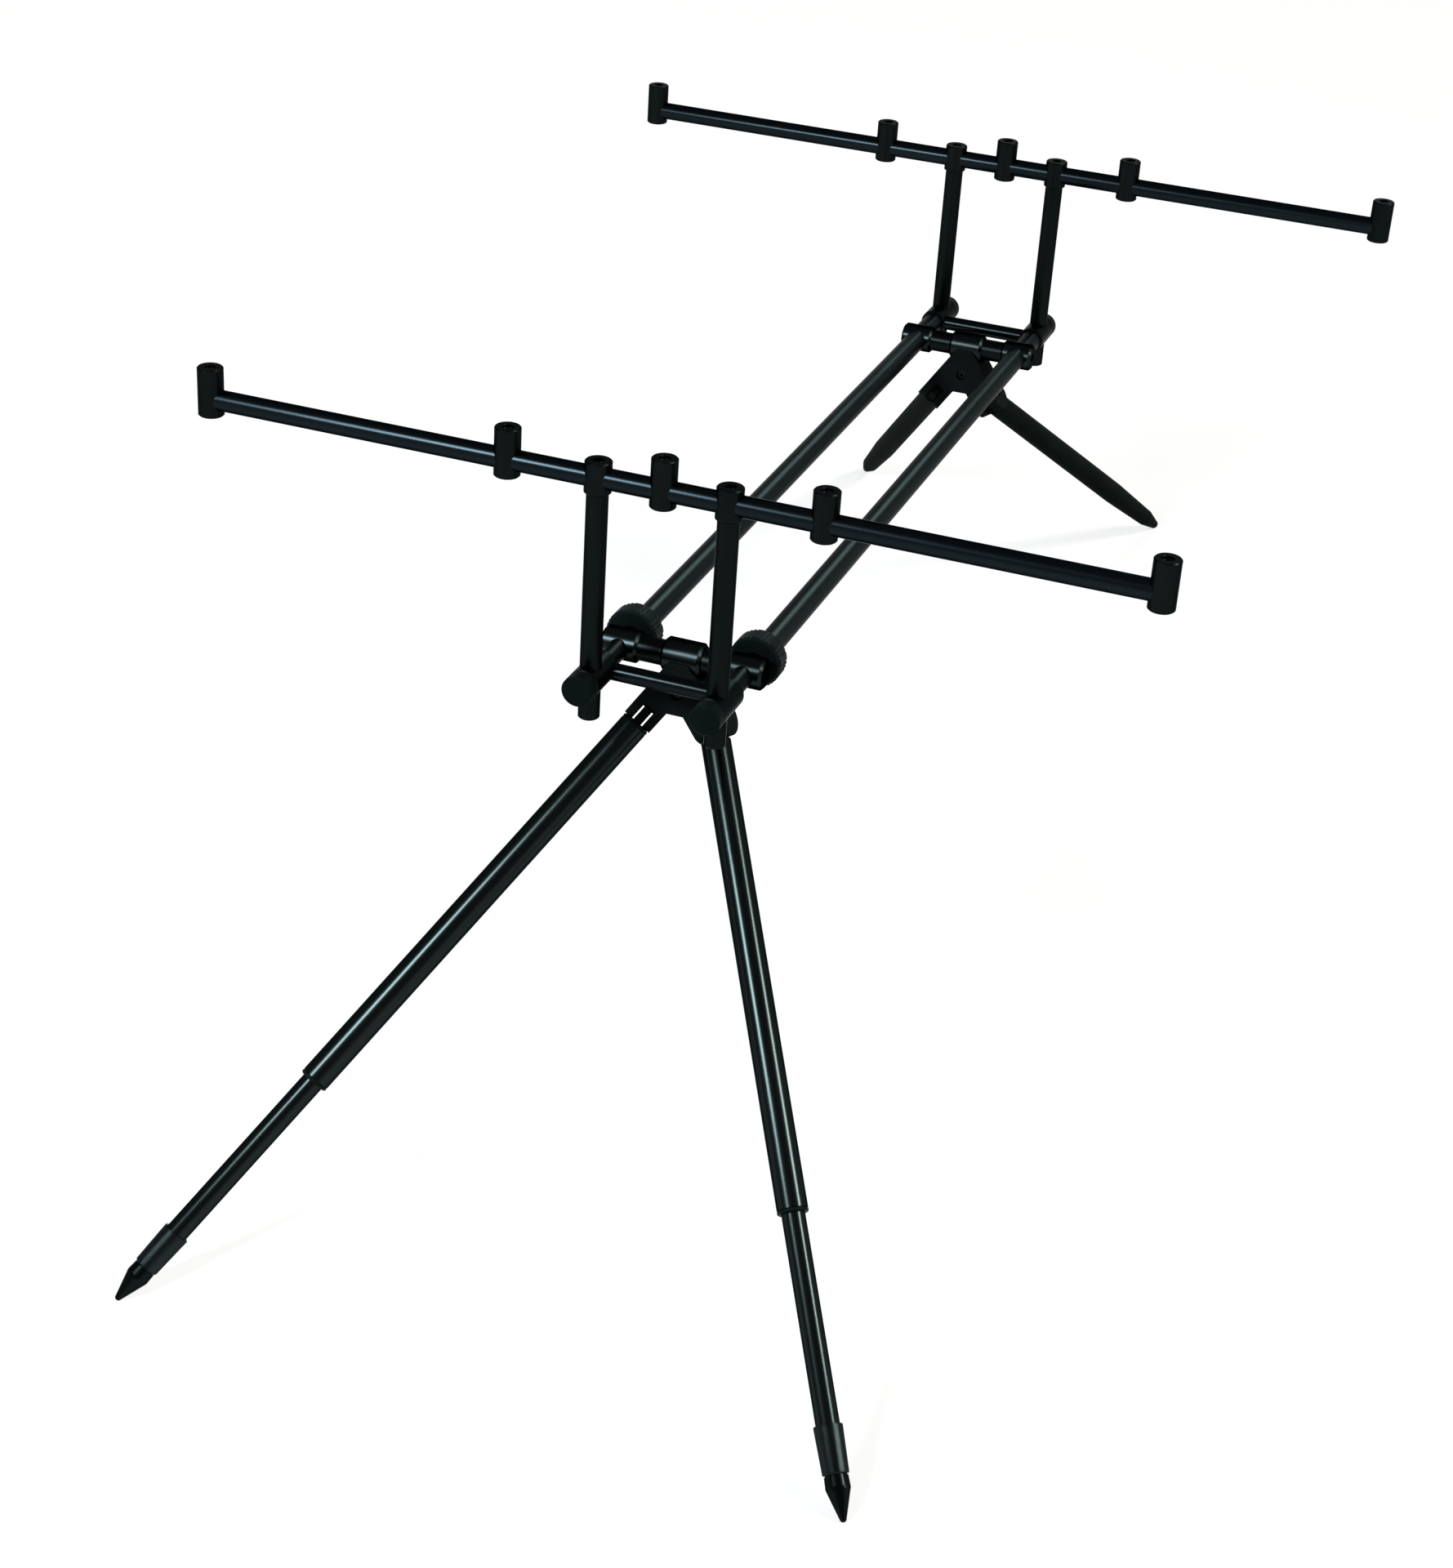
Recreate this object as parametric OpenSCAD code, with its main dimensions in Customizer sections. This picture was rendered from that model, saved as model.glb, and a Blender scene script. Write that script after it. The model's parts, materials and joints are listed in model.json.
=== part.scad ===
// Rod pod: two buzz bars on telescopic rails, with telescopic front legs and plain rear legs.
// Millimetres. The pod is drawn with level rails: x to the right, y from the front bar to the rear bar,
// z up, origin midway between the rails at the front uprights. stand() tips it onto its four feet.

/* [Bars] */
// Distance from the middle socket to the two inner sockets
socket_pitch = 117; // [95:1:140]
// Distance from the middle socket to the two end sockets
socket_reach = 350; // [300:1:420]
// Outside diameter of the bar tube
bar_d = 15.5; // [14:0.1:17]
// Wall of the bar tube
bar_wall = 1.5; // [1:0.1:2]
// Height of the bar axis over the rail axis
bar_rise = 155; // [120:1:200]
// Length of bar that runs past the axis of an end socket
bar_end_seat = 4; // [3:0.1:4.5]
// Wall of a socket beside the bar
socket_wall = 1.85; // [1.5:0.05:2.5]
// Height of a socket over the bar axis
socket_rise = 24.2; // [22:0.1:30]
// Depth of a socket below the bar axis
socket_drop = 12.3; // [11:0.1:16]
// Bore of the screw hole in a socket
thread_d = 8.3; // [7:0.1:9.5]
// Depth of the screw hole, mouth included
thread_depth = 15; // [10:0.1:15.5]

/* [Uprights] */
// Diameter of an upright
upright_d = 16; // [15:0.1:17]
// Wall of an upright
upright_wall = 2; // [1.5:0.1:3]
// Length of upright below the rail axis
upright_tail = 31; // [25:1:45]
// Length of the solid upper end of an upright
upright_plug = 22; // [18:1:30]
// Wall of a cap beside the bar
cap_wall = 2.1; // [1.8:0.1:3]
// Height of a cap over the bar axis
cap_rise = 12.7; // [12:0.1:16]
// Depth of a cap below the bar axis
cap_drop = 11.2; // [10.8:0.1:14]
// Depth of the seat for the upright in the underside of a cap
cap_seat = 2.2; // [1:0.1:2.2]
// Diameter of the cap screw
cap_screw_d = 5; // [4:0.1:6]
// Diameter of the head of the cap screw
cap_screw_head_d = 8; // [7:0.1:9]
// Height of the head of the cap screw
cap_screw_head_h = 2.6; // [2:0.1:3]
// Length of the cap screw inside the upright
cap_screw_grip = 12; // [8:1:16]

/* [Rails] */
// Distance between the front and the rear uprights
bar_gap = 866; // [820:1:950]
// Distance between the two rails
rail_spacing = 97; // [92:1:120]
// Outside diameter of an inner rail
inner_rail_d = 15.9; // [14.5:0.1:17]
// Wall of an inner rail
inner_rail_wall = 1.5; // [1:0.1:2.5]
// Length of an inner rail
inner_rail_len = 440; // [400:5:600]
// Wall of an outer rail tube
rail_wall = 1.5; // [1.2:0.1:2]

/* [Heads] */
// Wall of a clamp head outside the rail and the upright
head_wall = 2.2; // [1.5:0.1:3]
// Length of a head inboard of the upright
head_in = 24.5; // [24:0.5:34]
// Length of a head outboard of the upright
head_out = 14; // [11:0.5:18]
// Web left between the end of a rail and the upright
rail_seat_web = 1.5; // [1:0.1:3]
// Diameter of the thin crossbar
crossbar_d = 13; // [9:0.5:14]
// Distance of the crossbar inboard of the uprights
crossbar_in = 17; // [15:0.5:17.5]
// Thickness of a clamp knob
knob_len = 11.5; // [8:0.1:14]
// Diameter of the stud of a clamp knob
stud_d = 10; // [7:0.5:11]

/* [Locknuts] */
// Distance from a front boss to its locknut
nut_gap = 2; // [1:0.1:5]
// Length of a locknut
nut_len = 17; // [15:0.5:24]
// Thickness of the front wall of a locknut
nut_face = 3; // [2:0.1:4]
// Wall of a locknut outside its thread
nut_wall = 8.2; // [5:0.1:9]
// Number of grip bands round a locknut
nut_bands = 9; // [6:1:10]
// Number of flutes in a grip band
band_flutes = 3; // [2:1:4]
// Distance between the flutes of a grip band
flute_pitch = 3.2; // [2.6:0.1:4]
// Radius of a grip flute
flute_r = 1.2; // [0.8:0.1:1.5]
// Depth of a grip flute
flute_depth = 0.8; // [0.4:0.1:1]
// Wall of the threaded collar on the rail tube
collar_wall = 2.5; // [2:0.1:4]
// Length of collar that shows behind a locknut
collar_neck = 4; // [2:0.5:8]
// Length of the split collet
collet_len = 6; // [4:0.5:7]
// Wall of the split collet
collet_wall = 2.6; // [2:0.1:3]
// Width of the slit in the collet
collet_slit = 1.6; // [1:0.1:3]

/* [Axles] */
// Length of bare rail between a front head and its boss
front_rail_show = 25.5; // [15:0.5:40]
// Length of bare rail between a rear head and its boss
rear_rail_show = 33; // [15:0.5:45]
// Wall of a boss outside the outer rail
boss_wall = 2.7; // [2.4:0.1:4]
// Length of a boss
boss_len = 28.5; // [28:0.5:36]
// Diameter of the axle shaft
shaft_d = 19.4; // [17:0.1:21]
// Wall of the central barrel
barrel_wall = 3.5; // [2.5:0.1:4]
// Length of the central barrel
barrel_len = 30.5; // [28:0.5:36]
// Diameter of the spigot that joins shaft and boss
spigot_d = 12; // [9:0.5:14]
// Length of the spigot inside a boss
spigot_len = 3.5; // [2.5:0.1:4]
// Diameter of the grub screw in the end of a boss
grub_d = 8; // [6:0.1:9]
// Depth of the grub screw below the end of its boss
grub_recess = 1.5; // [0.5:0.1:2.5]
// Chamfer at the ends of bosses, barrels and heads
turned_edge = 2; // [1:0.1:2.5]

/* [Brackets] */
// Angle of each bracket arm from the upright plane
splay = 34; // [30:0.5:38]
// Distance of an arm's axis from the middle of the bracket, at the underside of the barrel
arm_root = 2; // [0:0.1:4]
// Distance from the underside of the barrel to the pivot pin, along an arm
arm_reach = 40; // [38:0.5:46]
// Thickness of the bracket from front to back
bracket_t = 30; // [22:0.5:34]
// Thickness of a fork prong
prong_t = 7.2; // [6:0.1:9]
// Thickness of the leg tongue in the fork
tongue_t = 7; // [5:0.1:8]
// Gap beside the tongue in the fork
tongue_gap = 1.3; // [0.5:0.1:1.5]
// How far the round end of an arm stands out from a half round
arm_end_bulge = 0.6; // [0.3:0.1:1]
// Gap between the end of an arm and the shoulder of its leg
shoulder_gap = 0.4; // [0.3:0.1:2]
// Radius of the tongue's eye
eye_r = 8.5; // [7:0.1:9]
// Width of the heel that stops a leg
heel_w = 7; // [6:0.1:7.5]
// Height of the web between the arms, below the barrel
web_h = 28; // [26:0.5:33]
// Diameter of a pivot pin
pin_d = 6; // [5:0.1:8]
// Depth of a pivot pin below the fork's side
pin_recess = 0.4; // [0.2:0.1:1]
// Distance of the bracket screw below the barrel
bracket_screw_drop = 11; // [9:0.5:18]
// Depth of the head of the bracket screw below the bracket's face
bracket_screw_sink = 3; // [0.5:0.1:5]
// Diameter of the head of the bracket screw
bracket_screw_head_d = 9; // [8:0.1:11]
// Height of the head of the bracket screw
bracket_screw_head_h = 6; // [5:0.1:7]
// Diameter of the bracket screw
bracket_screw_d = 6; // [4:0.1:7]
// Length of the bracket screw under its head
bracket_screw_len = 12; // [9:0.5:12.5]

/* [Front legs] */
// Forward lean of an open front leg
lean_front = 38.5; // [30:0.5:45]
// Diameter of the inner leg tube
inner_leg_d = 17; // [15:0.1:18]
// Wall of the inner leg tube
inner_leg_wall = 1.5; // [1:0.1:2.5]
// Length of the inner leg tube above the lip of the outer tube
inner_leg_hidden = 152; // [140:1:165]
// Wall of the guide bush round the inner leg tube
bush_wall = 1; // [0.8:0.1:1.5]
// Length of the guide bush inside the leg tube
bush_len = 26; // [15:1:30]
// Length of the lip of the guide bush
bush_lip = 3; // [2:0.1:6]
// Wall of the outer leg tube
leg_wall = 1.6; // [1.2:0.1:2.5]
// Length of the outer leg tube
leg_tube_len = 346.5; // [320:0.5:420]
// Length of inner leg tube that shows
inner_leg_show = 145.5; // [140:0.5:220]
// Length of the shoulder between tongue and tube
shoulder_len = 3; // [2:0.1:6]
// Length of the hinge plug inside the leg tube
plug_len = 30; // [20:1:34]
// Length of the twist-lock expander
expander_len = 26; // [20:1:30]
// Length of expander inside the inner leg tube
expander_seat = 8; // [5:1:12]
// Length of the foot sleeve
foot_len = 33; // [25:0.5:45]
// Diameter of the foot sleeve at its upper end
foot_top_d = 20.6; // [19:0.1:24]
// Diameter of the foot sleeve at its lower end
foot_low_d = 16.9; // [16:0.1:18.5]
// Depth of inner leg tube inside the foot sleeve
foot_seat = 10; // [6:0.5:14]
// Length of a spike outside the foot sleeve
spike_len = 31.5; // [25:0.5:45]
// Length of the round part of a spike, neck included
spike_round_len = 9; // [6:0.5:12]
// Largest diameter of a spike
spike_d = 17.6; // [17:0.1:20]
// Diameter of the neck between foot sleeve and spike
spike_neck_d = 15.4; // [14:0.1:16]
// Length of the neck between foot sleeve and spike
spike_neck_len = 1; // [0.5:0.1:2]
// Radius of a spike's nose
spike_nose_r = 2.5; // [2:0.1:4]
// Diameter of the spike's tang in the foot sleeve
tang_d = 9; // [7:0.1:10]
// Length of the spike's tang
tang_len = 18; // [10:0.5:19]

/* [Rear legs] */
// Backward lean of an open rear leg
lean_rear = 45; // [35:0.5:50]
// Diameter of a rear leg
rear_leg_d = 21.5; // [18:0.1:24]
// Length of a rear leg from its pivot to its point
rear_leg_len = 337; // [280:1:400]
// Length of the slow taper at the end of a rear leg
rear_taper_len = 68; // [50:1:90]
// Diameter of a rear leg where its point starts
rear_point_d = 16.6; // [14:0.1:18]
// Length of the point of a rear leg
rear_point_len = 23; // [18:0.5:30]
// Radius of a rear leg's nose
rear_nose_r = 4.5; // [3:0.1:6]

/* [Fits] */
// Radial gap where a piece is fixed in its seat
fit_gap = 0.05; // [0.02:0.01:0.08]
// Radial gap where a piece slides or turns
slide_gap = 0.05; // [0.02:0.01:0.09]
// Gap between faces that come close without touching
rest_gap = 0.3; // [0.2:0.05:0.5]
// Chamfer on small edges
small_edge = 0.8; // [0.4:0.1:1]

/* [Hidden] */
$fn = 64;
front = 0;
rear = 1;
left = -1;
right = 1;
sides = [left, right];
hex_sides = 6;
flute_facets = 24;
cut = 1;

anodised = [0.06, 0.07, 0.07];
turned_black = [0.09, 0.10, 0.10];
matt_black = [0.12, 0.13, 0.13];
nylon_grey = [0.20, 0.21, 0.21];
screw_black = [0.03, 0.03, 0.03];

// Bars, caps and uprights
socket_places = [-socket_reach, -socket_pitch, 0, socket_pitch, socket_reach];
socket_mouth = small_edge / 2;
socket_d = bar_d + 2 * socket_wall;
cap_d = bar_d + 2 * cap_wall;
bar_half = socket_reach + bar_end_seat;
upright_top = bar_rise - cap_drop + cap_seat;
cap_screw_seat = cap_rise - cap_screw_head_h - rest_gap;

// Rails and heads
rail_x = rail_spacing / 2;
rail_bore = inner_rail_d + 2 * slide_gap;
rail_d = rail_bore + 2 * rail_wall;
rail_ds = [inner_rail_d, rail_d];
head_d = max(rail_d, upright_d) + 2 * head_wall;
rail_seat = upright_d / 2 + rail_seat_web;
knob_d = head_d;
stud_tip = upright_d / 2 + rest_gap;

// Axles
boss_d = rail_d + 2 * boss_wall;
boss_inner = rail_x - boss_len / 2;
boss_outer = rail_x + boss_len / 2;
front_axle_y = head_in + front_rail_show + boss_d / 2;
rear_axle_y = bar_gap - head_in - rear_rail_show - boss_d / 2;
axle_ys = [front_axle_y, rear_axle_y];
barrel_d = shaft_d + 2 * barrel_wall;

// Locknuts, collars and collets, along the rails from the front uprights
collar_d = rail_d + 2 * collar_wall;
nut_d = collar_d + 2 * nut_wall;
flute_turn = 360 * flute_pitch / (PI * nut_d);
nut_front = front_axle_y + boss_d / 2 + nut_gap;
nut_rear = nut_front + nut_len;
collet_front = nut_front + nut_face + rest_gap;
rail_front = collet_front + collet_len + rest_gap;
rail_rear = bar_gap - rail_seat;
collet_d = inner_rail_d + 2 * slide_gap + 2 * collet_wall;

// Brackets
slot_w = tongue_t + 2 * tongue_gap;
arm_w = slot_w + 2 * prong_t;
slot_floor = eye_r + rest_gap;
arm_end_r = bracket_t / 2 + arm_end_bulge;
arm_blank = 2 * arm_end_r;
pivot_x = arm_root + arm_reach * sin(splay);
pivot_drop = barrel_d / 2 + arm_reach * cos(splay);
web_drop = barrel_d / 2 + web_h;
bracket_screw_seat = bracket_screw_sink + bracket_screw_head_h;

// Legs, measured from the pivot along the leg
shoulder = arm_end_r + shoulder_gap;
leg_tube_start = shoulder + shoulder_len + fit_gap;
lip_start = leg_tube_start + leg_tube_len + fit_gap;
lip_end = lip_start + bush_lip;
bush_d = inner_leg_d + 2 * slide_gap + 2 * bush_wall;
leg_bore = bush_d + 2 * fit_gap;
leg_d = leg_bore + 2 * leg_wall;
inner_leg_start = lip_end - inner_leg_hidden;
foot_start = lip_end + inner_leg_show;
inner_leg_end = foot_start + foot_seat;
spike_start = foot_start + foot_len + fit_gap;
front_leg_len = spike_start + spike_len;

// Stance: the slope of the rails and the place of the feet
leg_leans = [-lean_front, lean_rear];
function leg_way(end) =
    let (lean = leg_leans[end])
    [cos(lean) * sin(splay), sin(lean), -cos(lean) * cos(splay)];
function nose_place(end, reach) = [pivot_x, axle_ys[end], -pivot_drop] + reach * leg_way(end);
front_nose = nose_place(front, front_leg_len - spike_nose_r);
rear_nose = nose_place(rear, rear_leg_len - rear_nose_r);
nose_run = rear_nose - front_nose;
slope = atan2(nose_run[2], nose_run[1])
    + asin((spike_nose_r - rear_nose_r) / norm([nose_run[1], nose_run[2]]));
function tipped_y(p) = p[1] * cos(slope) + p[2] * sin(slope);
function tipped_z(p) = p[2] * cos(slope) - p[1] * sin(slope);
mid_y = (tipped_y(front_nose) - spike_nose_r + tipped_y(rear_nose) + rear_nose_r) / 2;
lift = spike_nose_r - tipped_z(front_nose);

// Places
module stand() translate([0, -mid_y, lift]) rotate([-slope, 0, 0]) children();

// A rail's axis, with local z running to the rear
module at_rail(side) translate([side * rail_x, 0, 0]) rotate([-90, 0, 0]) children();

// The crossing of an upright and its rail, with local y running inboard
module at_head(end, side) translate([side * rail_x, end * bar_gap, 0]) rotate([0, 0, 180 * end]) children();

// The middle of an axle
module at_axle(end) translate([0, axle_ys[end], 0]) children();

// The pivot at the end of a bracket arm, with local x along the pin and local z up the arm
module at_arm(side) translate([side * pivot_x, 0, -pivot_drop]) rotate([0, -side * splay, 0]) children();

// A leg's pivot, with local x along the pin and local z up the leg
module at_leg(end, side) at_axle(end) at_arm(side) rotate([leg_leans[end], 0, 0]) children();

// A leg's axis, with local z running down the leg from the pivot
module down_leg(end, side) at_leg(end, side) mirror([0, 0, 1]) children();

// The middle of a bar
module at_bar(end) translate([0, end * bar_gap, bar_rise]) children();

// Shapes that repeat
module turned(d, h, edge) {
    r = d / 2;
    rotate_extrude() polygon([[0, 0], [r - edge, 0], [r, edge], [r, h - edge], [r - edge, h], [0, h]]);
}

module pipe(d, bore, h) difference() {
    cylinder(d = d, h = h);
    translate([0, 0, -cut]) cylinder(d = bore, h = h + 2 * cut);
}

module hex_socket(across, depth)
    translate([0, 0, -depth]) cylinder(d = across, h = depth + cut, $fn = hex_sides);

// A rounded point: a cone that runs into a ball, which stands out from it by a hair
module point(d, h, nose_r) {
    ball = h - nose_r;
    cone_r = nose_r - fit_gap;
    tilt = atan2(d / 2, ball) - asin(cone_r / norm([d / 2, ball]));
    cylinder(d1 = d, r2 = cone_r * cos(tilt), h = ball + cone_r * sin(tilt));
    translate([0, 0, ball]) sphere(r = nose_r);
}

// Rails
module rail_tube(side) color(anodised) stand() at_rail(side)
    translate([0, 0, rail_front]) pipe(rail_d, rail_bore, rail_rear - rail_front);

module inner_rail(side) color(anodised) stand() at_rail(side)
    translate([0, 0, rail_seat]) pipe(inner_rail_d, inner_rail_d - 2 * inner_rail_wall, inner_rail_len);

module rail_collars() color(matt_black) stand() for (side = sides) at_rail(side)
    translate([0, 0, rail_front]) pipe(collar_d, rail_d + 2 * fit_gap, nut_rear + collar_neck - rail_front);

module rail_collets() color(nylon_grey) stand() for (side = sides) at_rail(side)
    translate([0, 0, collet_front]) difference() {
        turned(collet_d, collet_len, small_edge);
        translate([0, 0, -cut]) cylinder(d = inner_rail_d + 2 * slide_gap, h = collet_len + 2 * cut);
        translate([0, -collet_slit / 2, -cut]) cube([collet_d, collet_slit, collet_len + 2 * cut]);
    }

module locknut(side) color(matt_black) stand() at_rail(side)
    translate([0, 0, nut_front]) difference() {
        turned(nut_d, nut_len, turned_edge);
        translate([0, 0, -cut]) cylinder(d = inner_rail_d + 2 * rest_gap, h = nut_len);
        translate([0, 0, nut_face]) cylinder(d = collar_d + 2 * slide_gap, h = nut_len);
        for (band = [0 : nut_bands - 1], flute = [0 : band_flutes - 1])
            rotate([0, 0, band * 360 / nut_bands + flute * flute_turn])
                translate([nut_d / 2 + flute_r - flute_depth, 0, -cut])
                    cylinder(r = flute_r, h = nut_len + 2 * cut, $fn = flute_facets);
    }

// Axles
module axle_shaft(end) color(turned_black) stand() at_axle(end) rotate([0, 90, 0]) {
    cylinder(d = shaft_d, h = 2 * (boss_inner - fit_gap), center = true);
    cylinder(d = spigot_d, h = 2 * (boss_inner + spigot_len), center = true);
}

module axle_bosses(end) color(turned_black) stand() at_axle(end) for (side = sides)
    rotate([0, side * 90, 0]) difference() {
        translate([0, 0, boss_inner]) turned(boss_d, boss_len, turned_edge);
        translate([0, 0, rail_x]) rotate([90, 0, 0])
            cylinder(d = rail_ds[end] + 2 * fit_gap, h = boss_d + 2 * cut, center = true);
        translate([0, 0, boss_inner - cut])
            cylinder(d = spigot_d + 2 * fit_gap, h = cut + spigot_len + fit_gap);
        translate([0, 0, rail_x]) cylinder(d = grub_d + 2 * fit_gap, h = boss_len);
    }

module axle_screws(end) color(screw_black) stand() at_axle(end) for (side = sides) {
    tip = rail_x + rail_ds[end] / 2 + rest_gap;
    top = boss_outer - grub_recess;
    rotate([0, side * 90, 0]) difference() {
        translate([0, 0, tip]) turned(grub_d, top - tip, small_edge);
        translate([0, 0, top]) hex_socket(grub_d / 2, (top - tip) / 2);
    }
}

// Brackets
module bracket_outline() {
    across = arm_w / 2 * [cos(splay), sin(splay)];
    pivot = [pivot_x, -pivot_drop];
    arm_end = pivot + arm_blank * [sin(splay), -cos(splay)];
    inner = arm_end - across;
    top = [(pivot + across)[0] + (pivot + across)[1] * tan(splay), 0];
    web = [inner[0] + (web_drop + inner[1]) * tan(splay), -web_drop];
    half = [top, arm_end + across, inner, web];
    polygon(concat(half, [for (i = [len(half) - 1 : -1 : 0]) [-half[i][0], half[i][1]]]));
}

// What the round end of an arm leaves off a square one
module arm_end_waste() difference() {
    waste_w = arm_w + 2 * cut;
    waste_h = arm_blank + arm_end_r;
    translate([-waste_w / 2, -bracket_t, -waste_h]) cube([waste_w, 2 * bracket_t, waste_h]);
    rotate([0, 90, 0]) cylinder(r = arm_end_r, h = waste_w + 2 * cut, center = true);
}

module bracket(end) color(matt_black) stand() at_axle(end) difference() {
    union() {
        translate([-barrel_len / 2, 0, 0]) rotate([0, 90, 0]) turned(barrel_d, barrel_len, turned_edge);
        rotate([90, 0, 0]) linear_extrude(height = bracket_t, center = true) bracket_outline();
    }
    rotate([0, 90, 0]) cylinder(d = shaft_d + 2 * fit_gap, h = barrel_len + 2 * cut, center = true);
    for (side = sides) at_arm(side) {
        arm_end_waste();
        translate([-slot_w / 2, -bracket_t, -arm_blank])
            cube([slot_w, 2 * bracket_t, arm_blank + slot_floor]);
        rotate([0, 90, 0]) cylinder(d = pin_d + 2 * fit_gap, h = arm_w + 2 * cut, center = true);
    }
    at_bracket_screw() {
        translate([0, 0, -bracket_screw_seat])
            cylinder(d = bracket_screw_head_d + 2 * rest_gap, h = bracket_screw_seat + cut);
        translate([0, 0, -bracket_screw_seat - bracket_screw_len - rest_gap])
            cylinder(d = bracket_screw_d + 2 * fit_gap, h = bracket_screw_len + rest_gap + cut);
    }
}

// The mouth of the bracket's screw hole, with local z running out of it
module at_bracket_screw()
    translate([0, -bracket_t / 2, -barrel_d / 2 - bracket_screw_drop]) rotate([90, 0, 0]) children();

module bracket_screw(end) color(screw_black) stand() at_axle(end) at_bracket_screw()
    translate([0, 0, fit_gap - bracket_screw_seat]) difference() {
        union() {
            turned(bracket_screw_head_d, bracket_screw_head_h, small_edge);
            translate([0, 0, -bracket_screw_len]) cylinder(d = bracket_screw_d, h = bracket_screw_len + cut);
        }
        translate([0, 0, bracket_screw_head_h])
            hex_socket(bracket_screw_head_d / 2, bracket_screw_head_h / 2);
    }

module pivot_pins(end) color(screw_black) stand() at_axle(end) for (side = sides) at_arm(side) {
    pin_len = arm_w - 2 * pin_recess;
    translate([-pin_len / 2, 0, 0]) rotate([0, 90, 0]) turned(pin_d, pin_len, small_edge);
}

// Heads
module head(end, side) color(matt_black) stand() at_head(end, side) difference() {
    translate([0, -head_out, 0]) rotate([-90, 0, 0]) turned(head_d, head_out + head_in, turned_edge / 2);
    translate([0, rail_seat, 0]) rotate([-90, 0, 0]) cylinder(d = rail_ds[end] + 2 * fit_gap, h = head_in);
    cylinder(d = upright_d + 2 * slide_gap, h = head_d + 2 * cut, center = true);
    rotate([90, 0, 0]) cylinder(d = stud_d + 2 * slide_gap, h = head_out + cut);
}

module crossbar(end) color(anodised) stand() difference() {
    translate([0, end * bar_gap + (end == front ? crossbar_in : -crossbar_in), 0]) rotate([0, 90, 0])
        cylinder(d = crossbar_d, h = rail_spacing, center = true);
    for (side = sides) at_head(end, side) rotate([-90, 0, 0])
        cylinder(d = head_d + 2 * fit_gap, h = 2 * head_in, center = true);
}

module clamp_knob(end, side) color(matt_black) stand() at_head(end, side) rotate([90, 0, 0]) {
    translate([0, 0, head_out + rest_gap]) turned(knob_d, knob_len, turned_edge / 2);
    translate([0, 0, stud_tip]) cylinder(d = stud_d, h = head_out + rest_gap + knob_len / 2 - stud_tip);
}

// Bars
module bar_tube(end) color(anodised) stand() at_bar(end) difference() {
    rotate([0, 90, 0]) translate([0, 0, -bar_half]) pipe(bar_d, bar_d - 2 * bar_wall, 2 * bar_half);
    for (side = sides) translate([side * rail_x, 0, 0])
        cylinder(d = cap_screw_d + 2 * fit_gap, h = bar_d + 2 * cut, center = true);
}

module bar_bore() rotate([0, 90, 0])
    cylinder(d = bar_d + 2 * fit_gap, h = 2 * (bar_half + fit_gap), center = true);

module bar_sockets(end) color(anodised) stand() at_bar(end) for (place = socket_places) difference() {
    translate([place, 0, 0]) difference() {
        translate([0, 0, -socket_drop]) turned(socket_d, socket_drop + socket_rise, small_edge);
        translate([0, 0, socket_rise - thread_depth]) cylinder(d = thread_d, h = thread_depth + cut);
        translate([0, 0, socket_rise - socket_mouth])
            cylinder(r1 = thread_d / 2, r2 = thread_d / 2 + socket_mouth + cut, h = socket_mouth + cut);
    }
    bar_bore();
}

module upright_caps(end) color(anodised) stand() at_bar(end) difference() {
    for (side = sides) translate([side * rail_x, 0, 0]) difference() {
        translate([0, 0, -cap_drop]) turned(cap_d, cap_drop + cap_rise, small_edge);
        translate([0, 0, -cap_drop - cut])
            cylinder(d = upright_d + 2 * fit_gap, h = cap_seat + cut + fit_gap);
        translate([0, 0, -cap_drop]) cylinder(d = cap_screw_d + 2 * fit_gap, h = cap_drop + cap_rise);
        translate([0, 0, cap_screw_seat]) cylinder(d = cap_screw_head_d + 2 * rest_gap, h = cap_rise);
    }
    bar_bore();
}

module cap_screws(end) color(screw_black) stand() at_bar(end) for (side = sides) {
    shank = cap_screw_seat + cap_drop - cap_seat + cap_screw_grip;
    translate([side * rail_x, 0, cap_screw_seat + fit_gap]) difference() {
        union() {
            turned(cap_screw_head_d, cap_screw_head_h, small_edge);
            translate([0, 0, -shank]) cylinder(d = cap_screw_d, h = shank + cut);
        }
        translate([0, 0, cap_screw_head_h]) hex_socket(cap_screw_head_d / 2, cap_screw_head_h / 2);
    }
}

module upright(end, side) color(anodised) stand() translate([side * rail_x, end * bar_gap, 0]) difference() {
    translate([0, 0, -upright_tail]) turned(upright_d, upright_tail + upright_top, small_edge);
    translate([0, 0, -upright_tail - cut])
        cylinder(d = upright_d - 2 * upright_wall, h = upright_tail + cut + upright_top - upright_plug);
    translate([0, 0, upright_top - cap_screw_grip - rest_gap])
        cylinder(d = cap_screw_d + 2 * fit_gap, h = cap_screw_grip + rest_gap + cut);
}

// Legs
module tongue(end) difference() {
    heel_side = end == front ? -heel_w : 0;
    heel_t = tongue_t - 2 * fit_gap;
    union() {
        rotate([0, 90, 0]) cylinder(r = eye_r, h = tongue_t, center = true);
        translate([-tongue_t / 2, -eye_r, -shoulder - cut]) cube([tongue_t, 2 * eye_r, shoulder + cut]);
        rotate([-leg_leans[end], 0, 0]) translate([-heel_t / 2, heel_side, 0])
            cube([heel_t, heel_w, slot_floor - rest_gap / 2]);
    }
    rotate([0, 90, 0]) cylinder(d = pin_d + 2 * slide_gap, h = tongue_t + 2 * cut, center = true);
}

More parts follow.
